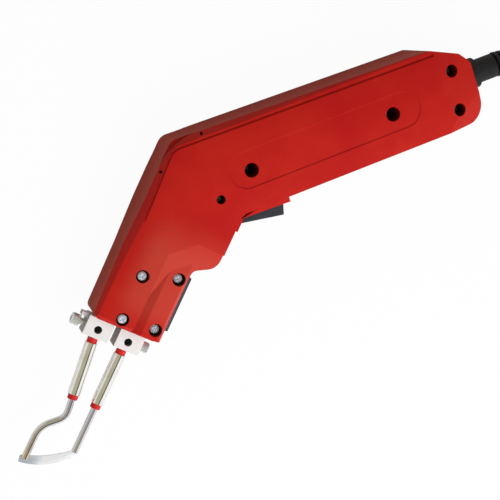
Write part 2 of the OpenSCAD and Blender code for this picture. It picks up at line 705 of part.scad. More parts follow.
module lower_clamp_bolt() color("silver") in_nose()
    translate([bolt_u, lower_bolt_end, mid]) rotate([-90, 0, 0])
        clamp_bolt(block_top + 2 * block_w + block_gap + gap - lower_bolt_end);

tube_from = block_from + block_len + 3.8;
tube_end = tube_from + tube_len;
function on_upper(u) = [u, upper_rod_s + (u - bolt_u) * tan(rod_tilt)];
tip_reach = 47.2;
heel_reach = 30.8;
blade_tip = [tube_end + tip_reach, -0.1];
blade_heel = [tube_end + heel_reach, lower_rod_s + 2.3];
blade_sag = 3.8;
blade_root_tip = blade_tip - [4, 0.9];
blade_root_heel = blade_heel - [0.6, 3.6];
root_sag = 1.6;
rod_dip = [tube_end + 14, 0];
knee = [on_upper(rod_dip.x), [tube_end + 24.3, 1.9], blade_tip + [-3, 1.8]];
rod_path = [on_upper(rod_from), each corner_arc(on_upper(rod_from), knee[0], knee[1], 8, 9),
    each corner_arc(knee[0], knee[1], knee[2], 14, 9), knee[2]];
module upper_rod() color([0.72, 0.71, 0.68]) difference() {
    in_nose() tube([for (p = rod_path) lift(p, mid)], rod_r, 20);
    blade_shape(blade_t + 2 * fit, 0);
}
module lower_rod() color([0.72, 0.71, 0.68]) difference() {
    in_nose() translate([rod_from, lower_rod_s, mid]) rotate([0, 90, 0])
        cylinder(r = rod_r, h = blade_heel.x - rod_from);
    blade_shape(blade_t + 2 * fit, 0);
}
sleeve_from = tube_from - sleeve_show;
sleeve_len = tube_len + 2 * sleeve_show;
module sleeve() translate([0, 0, sleeve_from - bolt_u]) difference() {
    cylinder(r = sleeve_r, h = sleeve_len);
    translate([0, 0, -1]) cylinder(r = rod_r + fit, h = sleeve_len + 2);
}
module steel_tube() translate([0, 0, tube_from - bolt_u]) difference() {
    cylinder(r = tube_r, h = tube_len);
    translate([0, 0, -1]) cylinder(r = sleeve_r + fit, h = tube_len + 2);
}
module upper_sleeve() color([0.80, 0.10, 0.08]) along_upper() sleeve();
module lower_sleeve() color([0.80, 0.10, 0.08]) along_lower() sleeve();
module upper_tube() color([0.75, 0.75, 0.73]) along_upper() steel_tube();
module lower_tube() color([0.75, 0.75, 0.73]) along_lower() steel_tube();

// Blade: a crescent between two arcs, ground on its outer edge
function arc_r(p, q, sag) = (norm(q - p) * norm(q - p) / 4 + sag * sag) / (2 * sag);
function arc_centre(p, q, sag) = let (d = unit(q - p))
    (p + q) / 2 + (arc_r(p, q, sag) - sag) * [-abs(d.y), -abs(d.x)];
blade_r = arc_r(blade_tip, blade_heel, blade_sag);
blade_c = arc_centre(blade_tip, blade_heel, blade_sag);
root_r = arc_r(blade_root_tip, blade_root_heel, root_sag);
root_c = arc_centre(blade_root_tip, blade_root_heel, root_sag);
edge_t = 0.25;
tip_cut = [blade_root_tip - [2, 0.6], blade_tip + [1.5, -0.6]];
module blade_shape(t, bevel) in_nose() translate([0, 0, mid]) intersection() {
    difference() {
        translate(lift(blade_c, 0)) rotate_extrude() polygon([[0, -t / 2], [blade_r - bevel, -t / 2],
            [blade_r, bevel > 0 ? -edge_t / 2 : -t / 2], [blade_r, bevel > 0 ? edge_t / 2 : t / 2],
            [blade_r - bevel, t / 2], [0, t / 2]]);
        translate(lift(root_c, -t)) cylinder(r = root_r, h = 2 * t);
    }
    translate([0, 0, -t]) linear_extrude(2 * t) polygon([tip_cut[0], tip_cut[1],
        blade_tip + [12, 20], blade_heel + [4, 4], blade_heel, blade_root_heel, blade_root_heel - [2, 2]]);
}
module blade() color([0.80, 0.81, 0.84]) blade_shape(blade_t, blade_bevel);

// Tube swept along points by its rings, each ring square to the path
function path_dir(p, i) = unit(p[min(i + 1, len(p) - 1)] - p[max(i - 1, 0)]);
function side_of(d) = unit(cross(abs(d.z) > 0.9 ? [1, 0, 0] : [0, 0, 1], d));
function tube_ring(p, i, r, sides) = let (d = path_dir(p, i), a = side_of(d), b = cross(d, a))
    [for (k = [0:sides - 1]) p[i] + r * (a * cos(360 * k / sides) + b * sin(360 * k / sides))];
module tube(p, r, sides) {
    n = len(p);
    polyhedron([for (i = [0:n - 1]) each tube_ring(p, i, r, sides)], [
        [for (k = [sides - 1:-1:0]) k],
        [for (k = [0:sides - 1]) (n - 1) * sides + k],
        for (i = [0:n - 2]) for (k = [0:sides - 1]) let (m = (k + 1) % sides, c = i * sides)
            each [[c + k, c + m, c + sides + k], [c + m, c + sides + m, c + sides + k]]]);
}
// Smooth curve through hand-placed points
function smooth(p, steps) = [for (i = [0:len(p) - 2]) let (a = p[max(i - 1, 0)], b = p[i], c = p[i + 1],
    d = p[min(i + 2, len(p) - 1)]) for (k = [0:steps - 1]) let (t = k / steps)
    0.5 * (2 * b + (c - a) * t + (2 * a - 5 * b + 4 * c - d) * t * t + (3 * b - a - 3 * c + d) * t * t * t),
    p[len(p) - 1]];

// Wires inside the body
lead_r = 1;
fuse_at = [under_elbow + 8.4, 43];
fuse_r = 2;
fuse_len = 10;
module thermal_fuse() color([0.82, 0.78, 0.66]) in_nose() translate([fuse_at.x, fuse_at.y, mid])
    rotate([0, 90, 0]) cylinder(r = fuse_r, h = fuse_len);
sheath_end = handle_len - 36;
switch_top = switch_y + switch_h + 4;
rear_post = handle_screw_at[1];
live_path = [[sheath_end, relief_y - 1.8, mid], [rear_post.x + 10, rear_post.y - 7.5, mid],
    [rear_post.x - 6, rear_post.y - 10.5, mid], [95, rear_post.y - 9.5, mid],
    [switch_x + 34.5, switch_top, mid],
    [terminal_x[1] + 2.5, switch_top + 5.3, mid], [terminal_x[1], switch_top + 4, mid],
    [terminal_x[1], switch_top, mid]];
over_core = mid + 11.8;
beside_fuse = fuse_at.x - 4;
switched_path = [[terminal_x[0], switch_top, mid], [terminal_x[0], switch_top + 5, mid],
    [switch_x + 6.5, -20, mid + 6], [36, -17, mid + 12], [22, -24, mid + 13], [10, -30, mid + 11],
    lift(nose_dir(core_at - 0.7, 34.5), over_core), lift(nose_dir(beside_fuse, 39.5), mid + 10.5),
    lift(nose_dir(beside_fuse, fuse_at.y - 0.5), mid + 5),
    lift(nose_dir(beside_fuse + 1.5, fuse_at.y), mid + 0.5),
    lift(nose_dir(fuse_at.x, fuse_at.y), mid)];
fuse_path = [lift(nose_dir(fuse_at.x + fuse_len, fuse_at.y), mid),
    lift(nose_dir(fuse_at.x + fuse_len + 6, fuse_at.y), mid + 2),
    lift(nose_dir(pin_u[1] + 2, 41), mid + 9),
    lift(nose_dir(pin_u[1], 37.5), terminal_z),
    lift(nose_dir(pin_u[1], window_from + window_len - gap + 5), terminal_z)];
neutral_path = [[sheath_end, relief_y + 1.8, mid], [rear_post.x + 10, rear_post.y + 10.5, mid],
    [rear_post.x - 6, rear_post.y + 13.5, mid], [80, -12, mid], [48, -11, mid],
    [24, -14, mid], [8, -22, mid + 8], lift(nose_dir(core_at - 3, 17), over_core - 0.3),
    lift(nose_dir(core_at + 2, 22), over_core - 0.3), lift(nose_dir(core_at + 6, 29), over_core - 0.3),
    lift(nose_dir(core_at + 6, 36), over_core - 0.3), lift(nose_dir(core_at + 8, 39.5), terminal_z),
    lift(nose_dir(pin_u[0] - 1, 39), terminal_z), lift(nose_dir(pin_u[0], 37.5), terminal_z),
    lift(nose_dir(pin_u[0], window_from + window_len - gap + 5), terminal_z)];
module live_lead() color([0.35, 0.20, 0.12]) tube(smooth(live_path, 3), lead_r, 8);
module switched_lead() color([0.35, 0.20, 0.12]) tube(smooth(switched_path, 3), lead_r, 8);
module fuse_lead() color([0.35, 0.20, 0.12]) tube(smooth(fuse_path, 3), lead_r, 8);
module neutral_lead() color([0.15, 0.30, 0.60]) tube(smooth(neutral_path, 3), lead_r, 8);

// Cord entry: strain relief, sheath through it and the bar that clamps the sheath
cord_r = cord_d / 2;
relief_r = 7.1;
relief_flange_r = 9;
relief_out = 8;
relief_smooth = 11.4;
relief_end_r = cord_r + 1;
relief_ribs = 8;
rib_gap = 1.1;
relief_tail = relief_len - relief_out - relief_smooth;
rib_pitch = relief_tail / relief_ribs;
exit_at = [handle_len + relief_len, relief_y, mid];
module strain_relief() color([0.09, 0.09, 0.10]) translate([handle_len, relief_y, mid]) rotate([0, 90, 0])
    difference() {
        union() {
            translate([0, 0, -wall - 3]) cylinder(r = relief_flange_r - 1, h = 3 - fit);
            translate([0, 0, -wall - 1]) cylinder(r = relief_neck_r, h = wall + 1.2);
            translate([0, 0, fit]) cylinder(r = relief_flange_r, h = relief_out - 1);
            translate([0, 0, relief_out - 1 + fit]) cylinder(r1 = relief_flange_r, r2 = relief_r, h = 1);
            cylinder(r = relief_r, h = relief_out + relief_smooth);
            cylinder(r = relief_end_r - 0.2, h = relief_len);
            for (i = [0:relief_ribs - 1])
                translate([0, 0, relief_out + relief_smooth + rib_gap + i * rib_pitch])
                cylinder(r1 = rib_radius(i), r2 = rib_radius(i + 0.6), h = rib_pitch - rib_gap);
        }
        translate([0, 0, -20]) cylinder(r = cord_r + fit, h = tall);
    }
function rib_radius(i) = relief_r + 0.4 + (relief_end_r - relief_r - 0.4) * i / relief_ribs;
module cord_sheath() color([0.10, 0.10, 0.11]) translate([sheath_end, relief_y, mid]) rotate([0, 90, 0])
    cylinder(r = cord_r, h = exit_at.x - sheath_end);
clamp_x = handle_len - 33;
clamp_len = 8;
clamp_screw_y = [relief_y - 8, relief_y + 8];
clamp_from = 3.4;
module clamp_posts() for (y = clamp_screw_y) rib(clamp_x, y - 3, clamp_len, 6, clamp_from - 3.2);
module clamp_pilots() for (y = clamp_screw_y)
    translate([clamp_x + clamp_len / 2, y, 0]) cylinder(r = core_screw_r + fit / 2, h = 8);
clamp_low = mid - clamp_from + 3.2;
module cord_clamp() color([0.16, 0.16, 0.17]) difference() {
    translate([clamp_x, relief_y - 11, clamp_low + gap / 3]) cube([clamp_len, 22, cord_r + 2.6]);
    translate([clamp_x - 1, relief_y, mid]) rotate([0, 90, 0])
        cylinder(r = cord_r + fit, h = clamp_len + 2);
    for (y = clamp_screw_y) translate([clamp_x + clamp_len / 2, y, 0])
        cylinder(r = core_screw_r + 0.2, h = tall);
}
module cord_clamp_screws() color("silver") for (y = clamp_screw_y)
    translate([clamp_x + clamp_len / 2, y, clamp_low + gap / 3 + cord_r + 2.6]) {
        cylinder(r = 2.5, h = 1.8);
        translate([0, 0, -12]) cylinder(r = core_screw_r, h = 12 + eps);
    }

// Free cord: from the strain relief down to the table and into the coil; offsets from the exit
tie_t = 0.6;
lay_z = cord_r + tie_t + 0.1;
cord_reach = [0, 8, 18, 30, 42, 52, 62, 72];
cord_fall = [0, 0.01, 0.13, 0.39, 0.69, 0.89, 0.98, 1];
cord_route = [for (i = [0:len(cord_reach) - 1]) [cord_reach[i], 0, cord_fall[i] * (lay_z - exit_at.z)]];
coil_in = 28.5;
pitch = cord_d + 0.5;
half_turns = coil_turns / 2;
coil_out = coil_in + pitch * half_turns;
coil_at = [exit_at.x + cord_reach[7], relief_y - coil_out];
layer = cord_d + 0.5;
function climb(t) = let (k = min(1, max(0, (t - half_turns + 0.25) * 2))) k * k * (3 - 2 * k);
function coil_point(t) = let (r = coil_in + pitch * abs(t - half_turns), a = 90 - 360 * t)
    [coil_at.x + r * cos(a), coil_at.y + r * sin(a), lay_z + layer * climb(t)];
rings_a_loop = 24;
coil_path = [for (i = [0:coil_turns * rings_a_loop]) coil_point(i / rings_a_loop)];
tail_route = [[0, 0, 0], [-10, 0, -0.5], [-22, 0, -2.6], [-34, 0, -4.8], [-44, 0, -5.2]];
coil_end = coil_path[len(coil_path) - 1];
tail_path = [for (p = tail_route) coil_end + p];
least_gap = min([for (i = [0:len(coil_path) - 1]) for (j = [i + 12:len(coil_path) - 1])
    norm(coil_path[i] - coil_path[j])]) - cord_d;
echo(least_gap_between_turns = least_gap);
module cord() color([0.07, 0.07, 0.08]) tube(smooth([for (p = cord_route) exit_at + p], 2), cord_r, 12);
module cord_coil() color([0.07, 0.07, 0.08])
    tube(concat(coil_path, [for (i = [1:4]) tail_path[i]]), cord_r, 6);

// Strap round the bundle of turns
tie_w = 12;
tie_in = coil_in - cord_r - 0.8;
tie_out = coil_out - pitch / 4 + cord_r + 0.8;
tie_top = lay_z + layer + cord_r + 0.3;
module coil_tie() color([0.05, 0.05, 0.06]) difference() {
    translate([coil_at.x + tie_in - tie_t, coil_at.y - tie_w / 2, 0])
        cube([tie_out - tie_in + 2 * tie_t, tie_w, tie_top + tie_t]);
    translate([coil_at.x + tie_in, coil_at.y - tie_w, tie_t])
        cube([tie_out - tie_in, 2 * tie_w, tie_top - tie_t]);
}

// Flat two-pin plug, beside the coil
plug_at = tail_path[4];
plug_h = 2 * plug_at.z;
plug_w = 35;
plug_len = 34;
plug_neck = 12;
pin_gap_y = 18.6;
plug_pin_r = 2;
plug_pin_len = 19;
module plug_body() color([0.08, 0.08, 0.09]) translate(plug_at) rotate([0, -90, 0]) {
    cylinder(r1 = cord_r + 1.2, r2 = plug_at.z - 1, h = plug_neck + 1);
    difference() {
        translate([0, 0, plug_neck]) linear_extrude(plug_len) rounded_box(plug_h, plug_w, 5);
        for (e = [-1, 1]) translate([0, e * plug_w / 2, plug_neck]) rotate([e * -25, 0, 0])
            translate([-tall / 2, e > 0 ? 0 : -tall, -tall / 2]) cube([tall, tall, tall]);
        for (e = [-1, 1]) translate([0, e * pin_gap_y / 2, plug_neck + plug_len - 8])
            cylinder(r = plug_pin_r, h = 20);
    }
}
module rounded_box(w, h, r) polygon(rounded([
    [-w / 2, -h / 2, r], [-w / 2, h / 2, r], [w / 2, h / 2, r], [w / 2, -h / 2, r]]));
module plug_pins() color("silver") translate(plug_at) rotate([0, -90, 0])
    for (e = [-1, 1]) translate([0, e * pin_gap_y / 2, plug_neck + plug_len - 8]) {
        cylinder(r = plug_pin_r, h = 8 + plug_pin_len - 1.5);
        translate([0, 0, 8 + plug_pin_len - 1.5]) cylinder(r1 = plug_pin_r, r2 = 1, h = 1.5);
    }

// The tool without its cord is centred on the origin
function blade_edge(a) = let (p = blade_point(a)) nose_dir(p.x, p.y);
function blade_point(a) = blade_c + blade_r * [cos(a), sin(a)];
function under_cut(p) = turn_of(tip_cut[1] - tip_cut[0], p - tip_cut[0]) >= 0;
front_edge = min([for (a = [-60:0.25:90]) if (under_cut(blade_point(a))) blade_edge(a).x]);
lowest_edge = min([for (a = [0:0.5:90]) if (blade_point(a).y <= blade_heel.y) blade_edge(a).y]);
spine_top = max([for (p = rounded(body_outline)) p.y]);
centre = [(front_edge + exit_at.x) / 2, (lowest_edge + spine_top) / 2];
module placed() translate([-centre.x, -centre.y, 0]) children();

placed() {
    left_shell();
    right_shell();
    nose_screws();
    handle_screws();
    rear_screws();
    elbow_screw();
    nose_rest_pad();
    trigger();
    trigger_pin();
    trigger_spring();
    switch_body();
    switch_plunger();
    switch_terminals();
    transformer_core();
    core_screws();
    bobbin();
    bobbin_terminals();
    primary_winding();
    secondary_turn();
    upper_bus_bar();
    lower_bus_bar();
    mouth_insulator();
    upper_electrode_block();
    lower_electrode_block();
    upper_clamp_bolt();
    lower_clamp_bolt();
    upper_rod();
    lower_rod();
    upper_sleeve();
    lower_sleeve();
    upper_tube();
    lower_tube();
    blade();
    thermal_fuse();
    live_lead();
    switched_lead();
    fuse_lead();
    neutral_lead();
    cord_sheath();
    cord_clamp();
    cord_clamp_screws();
    strain_relief();
    cord();
    cord_coil();
    coil_tie();
    plug_body();
    plug_pins();
}
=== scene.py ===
# %% [markdown]
# # An electric hot knife, dressed in Blender
# The tool is a cranked red handle with a transformer in its nose. Two steel rods hold a small curved blade,
# which heats while the trigger is held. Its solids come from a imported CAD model. They keep their shape, and
# this lesson gives them rounded edges, finishes, a cord, light and a camera. Everything is in metres.

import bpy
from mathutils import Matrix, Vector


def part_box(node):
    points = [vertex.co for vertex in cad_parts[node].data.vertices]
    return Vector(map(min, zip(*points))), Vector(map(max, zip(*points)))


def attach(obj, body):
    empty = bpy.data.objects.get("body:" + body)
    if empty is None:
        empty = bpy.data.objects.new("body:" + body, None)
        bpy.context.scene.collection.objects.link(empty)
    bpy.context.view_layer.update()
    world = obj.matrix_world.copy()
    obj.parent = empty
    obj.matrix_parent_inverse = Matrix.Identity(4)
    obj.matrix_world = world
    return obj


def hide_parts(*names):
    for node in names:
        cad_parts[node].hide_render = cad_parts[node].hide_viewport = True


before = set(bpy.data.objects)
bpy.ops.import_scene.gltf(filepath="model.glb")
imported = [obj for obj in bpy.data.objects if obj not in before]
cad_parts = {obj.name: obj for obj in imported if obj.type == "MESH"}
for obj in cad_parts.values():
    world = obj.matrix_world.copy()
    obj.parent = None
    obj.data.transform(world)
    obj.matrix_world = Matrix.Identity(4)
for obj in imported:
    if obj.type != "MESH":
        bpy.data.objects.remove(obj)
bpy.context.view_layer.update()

# %% [markdown]
# `bpy` is Blender itself as Python sees it. `mathutils` has its vectors and matrices, which add, turn and
# measure places without writing out each coordinate.

# %% Tools that the lesson uses
import math
import bpy
from mathutils import Matrix, Vector

print("Blender", bpy.app.version_string)

# %% [markdown]
# The real tool was drawn from its elbow, the point where the spine of the handle meets the spine of the nose.
# A place on the handle is easy to name as so far back and so far up from there. A place on the nose is so far
# forward and so far down from its spine. Two small functions turn such places, in millimetres, into metres.

# %% Places on the handle and on the nose
EXIT_BACK, EXIT_DOWN = 224, 26.2
RELIEF_LOW, RELIEF_HIGH = (1000 * Vector(corner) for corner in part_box("strain_relief"))
ELBOW = Vector((RELIEF_HIGH.x - EXIT_BACK, (RELIEF_LOW.y + RELIEF_HIGH.y) / 2 + EXIT_DOWN))
MIDDLE = 20.0
SLANT = math.radians(225)


def handle(x, y, z=MIDDLE):
    """A place so far back, up and above the table, in mm from the elbow."""
    return Vector((ELBOW.x + x, ELBOW.y + y, z)) / 1000


def nose(u, s, z=MIDDLE):
    """A place so far forward along the nose and down from its spine, in mm from the elbow."""
    return handle(u * math.cos(SLANT) - s * math.sin(SLANT), u * math.sin(SLANT) + s * math.cos(SLANT), z)


print("elbow at", handle(0, 0), "mouth of the nose at", nose(105.5, 20))

# %% [markdown]
# ## Camera
# The photograph looks down on the tool, as it lies on its side, from about 0.7 m. A camera is a place and a
# turn. The turn comes from three directions at right angles: back along the view, up the picture, and across.
# A long lens keeps the perspective as mild as the photograph's.

# %% Camera
PICTURE_UP = Vector((0.3282, 0.9446, 0))
LENS_MM, SENSOR_MM = 93.84, 36
eye = handle(-111.43, 104.42, 736.1)
aim = handle(20.24, -71.16, 40)
back = (eye - aim).normalized()
across = PICTURE_UP.cross(back).normalized()
camera_data = bpy.data.cameras.new("camera")
camera_data.lens = LENS_MM
camera_data.sensor_width = SENSOR_MM
camera_data.clip_start = 0.01
camera = bpy.data.objects.new("camera", camera_data)
camera.matrix_world = Matrix.Translation(eye) @ Matrix((across, back.cross(across), back)).transposed().to_4x4()
bpy.context.collection.objects.link(camera)
bpy.context.scene.camera = camera
print("camera", round((eye - aim).length, 3), "m from the tool")

# %% [markdown]
# ## Cord
# A mains cord is one long flexible tube. It leaves the strain relief, drops to the table in a soft curve and is
# wound into a coil, whose loops spiral in and out again in two layers. The coil is a spiral about a centre, so
# a point on it needs only the number of turns made so far.

# %% A point on the coil
CORD_R = 3.5
LAY = CORD_R + 0.7
LAYER = 7.5
INNER, PITCH, HALF_TURNS = 28.5, 7.5, 3.25
TURNS = 2 * HALF_TURNS
cord_exit = Vector((EXIT_BACK, -EXIT_DOWN, MIDDLE))
coil_centre = Vector((EXIT_BACK + 72, -EXIT_DOWN - 52.875))


def eased(share):
    """0 to 1 with a soft start and end."""
    share = min(1.0, max(0.0, share))
    return share * share * (3 - 2 * share)


def coil_point(turn):
    radius = INNER + PITCH * abs(turn - HALF_TURNS)
    angle = math.radians(90 - 360 * turn)
    height = LAY + LAYER * eased((turn - HALF_TURNS + 0.25) * 2)
    return Vector((coil_centre.x + radius * math.cos(angle), coil_centre.y + radius * math.sin(angle), height))


print("the coil has", TURNS, "turns")

# %% [markdown]
# The route is a list of points: the fall from the strain relief to the table, the coil, and the tail that runs
# into the plug. The fall is given in millimetres back and in the share of the height that is lost by then, the
# tail in millimetres back and up, counted from the coil's end.

# %% Route of the cord
POINTS_A_TURN = 24
FALL = [(0, 0), (8, 0.01), (18, 0.13), (30, 0.39), (42, 0.69), (52, 0.89), (62, 0.98)]
TAIL = [(-10, -0.5), (-22, -2.6), (-34, -4.8), (-44, -5.2)]
route = [cord_exit + Vector((x, 0, down * (LAY - cord_exit.z))) for x, down in FALL]
route += [coil_point(i / POINTS_A_TURN) for i in range(round(TURNS * POINTS_A_TURN) + 1)]
route += [coil_point(TURNS) + Vector((x, 0, z)) for x, z in TAIL]
route = [handle(*p) for p in route]
print("route of", len(route), "points")

# %% [markdown]
# Straight steps between these points would show as corners. A smooth curve that passes through all of them
# takes each new point from the two neighbours on either side.


# %% Smooth the route
def smooth_route(points, steps):
    """Adds points between the given ones along a smooth curve through them."""
    out = []
    for i in range(len(points) - 1):
        a, b, c, d = (points[min(max(i + k, 0), len(points) - 1)] for k in (-1, 0, 1, 2))
        for k in range(steps):
            t = k / steps
            out.append(0.5 * (2 * b + (c - a) * t + (2 * a - 5 * b + 4 * c - d) * t ** 2
                              + (3 * b - a - 3 * c + d) * t ** 3))
    return out + [points[-1]]


line = smooth_route(route, 2)
cord_length = sum((b - a).length for a, b in zip(line, line[1:]))
print("cord", round(cord_length, 3), "m long,", len(line), "points")

# %% [markdown]
# A curve with a round bevel is the simplest way to make a cord: the curve holds the route, and Blender sweeps
# the section along it.

# %% Cord
cord_curve = bpy.data.curves.new("mains_cord", "CURVE")
cord_curve.dimensions = "3D"
cord_curve.bevel_depth = 1.0
cord_curve.bevel_resolution = 4
cord_curve.use_fill_caps = True
run = cord_curve.splines.new("POLY")
run.points.add(len(line) - 1)
for point, p in zip(run.points, line):
    point.co = (*p, 1)
    point.radius = CORD_R / 1000
run.use_smooth = True
flex = bpy.data.objects.new("mains_cord", cord_curve)
bpy.context.collection.objects.link(flex)
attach(flex, "body")
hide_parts("cord", "cord_coil")
print("cord replaces its solids")

# %% [markdown]
# ## Rounded edges
# Moulded and machined edges are never knife sharp: a thin rounding catches the light and makes a shape look
# real. The solids arrive as triangles that share no corners across an edge. A Weld modifier joins them, and
# later modifiers can then see where one face meets the next. Modifiers keep the solids themselves as they were.

# %% Join and smooth a solid's faces
WELD = 2e-6


def smoothed(node):
    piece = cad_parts[node]
    mesh = piece.data
    mesh.polygons.foreach_set("use_smooth", [True] * len(mesh.polygons))
    if "custom_normal" in mesh.attributes:
        mesh.attributes.remove(mesh.attributes["custom_normal"])
    piece.modifiers.new("weld", "WELD").merge_threshold = WELD
    return piece


print("solids can be smoothed")

# %% [markdown]
# A Bevel modifier rounds every edge that turns by more than an angle. Each solid gets the width that its making
# leaves: hairline on turned and cut metal, wider on soft plastic. Hardened normals keep the flats looking flat.

# %% Round the edges
EDGE_ANGLE = math.radians(32)
EDGES = {
    "nose_rest_pad": 0.4, "trigger": 0.4, "upper_electrode_block": 0.3, "lower_electrode_block": 0.3,
    "upper_clamp_bolt": 0.25, "lower_clamp_bolt": 0.25, "nose_screws": 0.12, "handle_screws": 0.12,
    "rear_screws": 0.12, "elbow_screw": 0.1, "upper_tube": 0.15, "lower_tube": 0.15, "upper_sleeve": 0.2,
    "lower_sleeve": 0.2, "strain_relief": 0.3, "plug_body": 1.2, "plug_pins": 0.2, "coil_tie": 0.2,
    "switch_body": 0.4, "bobbin": 0.15, "primary_winding": 0.5, "secondary_turn": 0.25, "upper_bus_bar": 0.2,
    "lower_bus_bar": 0.2, "cord_clamp": 0.4, "mouth_insulator": 0.15, "transformer_core": 0.2,
}
for node, width_mm in EDGES.items():
    edge = smoothed(node).modifiers.new("edges", "BEVEL")
    edge.width = width_mm / 1000
    edge.segments = 3
    edge.limit_method = "ANGLE"
    edge.angle_limit = EDGE_ANGLE
    edge.harden_normals = True
    edge.use_clamp_overlap = False
    edge.loop_slide = False
print("rounded", len(EDGES), "solids")

# %% [markdown]
# The two shells have too many thin facets to bevel. They are smoothed only where the facets of a curve meet at
# a small angle, and stay sharp at real edges. Their finish later rounds the light over those edges instead.

# %% Smooth curves and sharp edges on the shells
SHARP_ANGLE = math.radians(9.8)
for node in ("left_shell", "right_shell"):
    smoothed(node).modifiers.new("sharp", "EDGE_SPLIT").split_angle = SHARP_ANGLE
print("shells smoothed")

# %% [markdown]
# ## Shader arithmetic
# A procedural finish is arithmetic on places and patterns. Wiring Math nodes by hand hides that arithmetic, so
# a small class lets Python's own signs add the nodes: `1 - mask` or `wear * 0.3` reads as it would on paper.


# %% A wire that can be added and multiplied
class Wire:
    """One output of a shader node."""

    def __init__(self, finish, socket):
        self.finish, self.socket = finish, socket

    def other(self, name):
        return Wire(self.finish, self.socket.node.outputs[name])

    def __add__(self, value):
        return self.finish.maths("ADD", self, value)

    def __sub__(self, value):
        return self.finish.maths("SUBTRACT", self, value)

    def __rsub__(self, value):
        return self.finish.maths("SUBTRACT", value, self)

    def __mul__(self, value):
        return self.finish.maths("MULTIPLY", self, value)

    def __abs__(self):
        return self.finish.maths("ABSOLUTE", self)

    __radd__ = __add__
    __rmul__ = __mul__


print("wires can be added")

# %% [markdown]
# A finish is one material. It starts as a Principled shader with a few constants. Its methods then add the
# patterns that the finishes below share: noise, soft steps, blends, a bump, and masks of holes at given
# places, which the finishes colour dark as painted shade.


# %% A finish: one material and the nodes behind it
def fill_ramp(ramp, stops):
    """Gives a colour ramp these stops, each a place from 0 to 1 and a colour."""
    while len(ramp.elements) < len(stops):
        ramp.elements.new(0.5)
    for stop, (place, colour) in zip(ramp.elements, stops):
        stop.position, stop.color = place, (*colour, 1)


class Finish:
    def __init__(self, name, **constants):
        self.material = bpy.data.materials.new(name)
        self.material.use_nodes = True
        self.tree = self.material.node_tree
        self.tree.nodes.clear()
        out = self.tree.nodes.new("ShaderNodeOutputMaterial")
        self.shader = self.tree.nodes.new("ShaderNodeBsdfPrincipled")
        self.tree.links.new(self.shader.outputs[0], out.inputs[0])
        self.shade(**constants)

    def feed(self, socket, value):
        if isinstance(value, Wire):
            self.tree.links.new(value.socket, socket)
        elif socket.type == "RGBA" and len(value) == 3:
            socket.default_value = (*value, 1)
        else:
            socket.default_value = value

    def shade(self, **sockets):
        for name, value in sockets.items():
            self.feed(self.shader.inputs[name.replace("_", " ")], value)
        return self

    def node(self, kind, settings=None, sockets=None, output=0):
        made = self.tree.nodes.new("ShaderNode" + kind)
        for name, value in (settings or {}).items():
            setattr(made, name, value)
        for name, value in (sockets or {}).items():
            self.feed(made.inputs[name], value)
        return Wire(self, made.outputs[output])

    def maths(self, operation, *values):
        return self.node("Math", {"operation": operation}, dict(enumerate(values)))

    def vector_maths(self, operation, first, second):
        """The number that two vectors make, such as a DISTANCE or a DOT_PRODUCT."""
        return self.node("VectorMath", {"operation": operation}, {0: first, 1: second}, "Value")

    def parts(self, vector):
        """X of a vector, with .other("Y") and .other("Z") beside it."""
        return self.node("SeparateXYZ", {}, {0: vector})

    def blend(self, share, below, above):
        """A colour between two, by a share from 0 to 1."""
        return self.node("Mix", {"data_type": "RGBA"}, {0: share, 6: below, 7: above}, 2)

    def rise(self, value, low, high):
        """0 below low, 1 above high, and a soft step between."""
        return self.node("MapRange", {"interpolation_type": "SMOOTHSTEP"}, {0: value, 1: low, 2: high})

    def place(self):
        return self.node("TexCoord", output="Object")

    def along(self, direction):
        """How far a place lies along a direction, in metres."""
        return self.vector_maths("DOT_PRODUCT", self.place(), direction)

    def stretched(self, scale, turn=0.0):
        return self.node("Mapping", {}, {"Vector": self.place(), "Scale": scale, "Rotation": (0, 0, turn)})

    def noise(self, scale, detail=2.0, rough=0.5, at=None):
        return self.node("TexNoise", {}, {"Vector": at or self.place(), "Scale": scale, "Detail": detail,
                                          "Roughness": rough})

    def bump(self, height, depth_mm, over=None):
        sockets = {"Height": height, "Distance": depth_mm / 1000, "Strength": 1.0}
        if over:
            sockets["Normal"] = over
        return self.shade(Normal=self.node("Bump", {}, sockets))

    def holes(self, spots, above):
        """1 inside upright holes at these spots, each a point and a radius in mm, and above a height."""
        place = self.parts(self.place())
        level = self.node("CombineXYZ", {}, {0: place, 1: place.other("Y")})
        inside = 0.0
        for spot, radius in spots:
            away = self.vector_maths("DISTANCE", level, (spot.x, spot.y, 0))
            inside = (1 - self.rise(away, (radius - 0.1) / 1000, (radius + 0.12) / 1000)) + inside
        return inside * self.rise(place.other("Z"), above / 1000, (above + 0.4) / 1000)

    def on(self, *nodes):
        for node in nodes:
            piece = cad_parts[node] if isinstance(node, str) else node
            piece.data.materials.clear()
            piece.data.materials.append(self.material)
        return self


print("finishes can be made")
